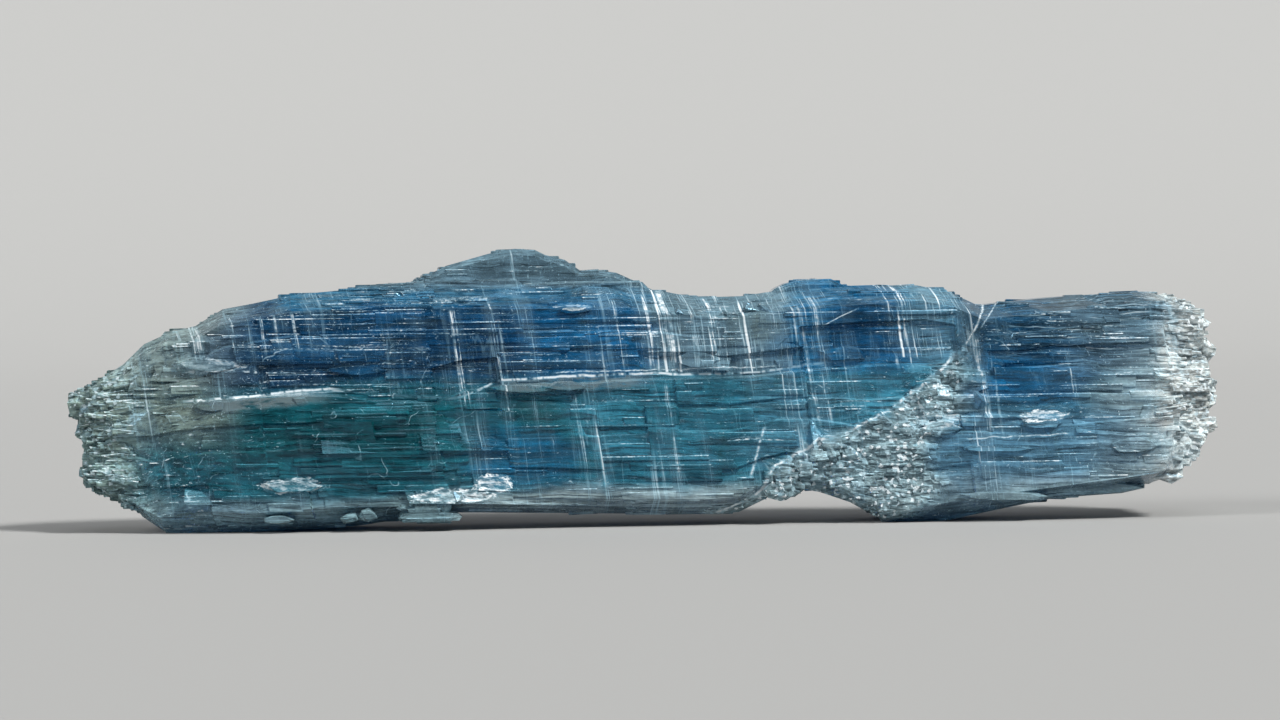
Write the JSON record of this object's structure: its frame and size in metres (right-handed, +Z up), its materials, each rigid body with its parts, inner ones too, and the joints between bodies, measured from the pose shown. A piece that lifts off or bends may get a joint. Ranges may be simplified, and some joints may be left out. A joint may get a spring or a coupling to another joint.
{
  "type": "kyanite blade cluster",
  "caption": "Loose cluster of long flat mineral blades grown side by side, with stepped cleavage faces, cross cracks and broken ends; stands on its long lower edge.",
  "frame": {"origin": "under the middle of the crystal, on the surface that it rests on", "axes": "+X along the blades from the stepped end to the granular broken end, +Y from the front cleavage face to the back, +Z up"},
  "size_m": [0.0574, 0.0074, 0.0139],
  "materials": {
    "kyanite": "vitreous to pearly, striated and cracked"
  },
  "bodies": {
    "root": {"kyanite_crystal": "kyanite"}
  },
  "joints": []
}
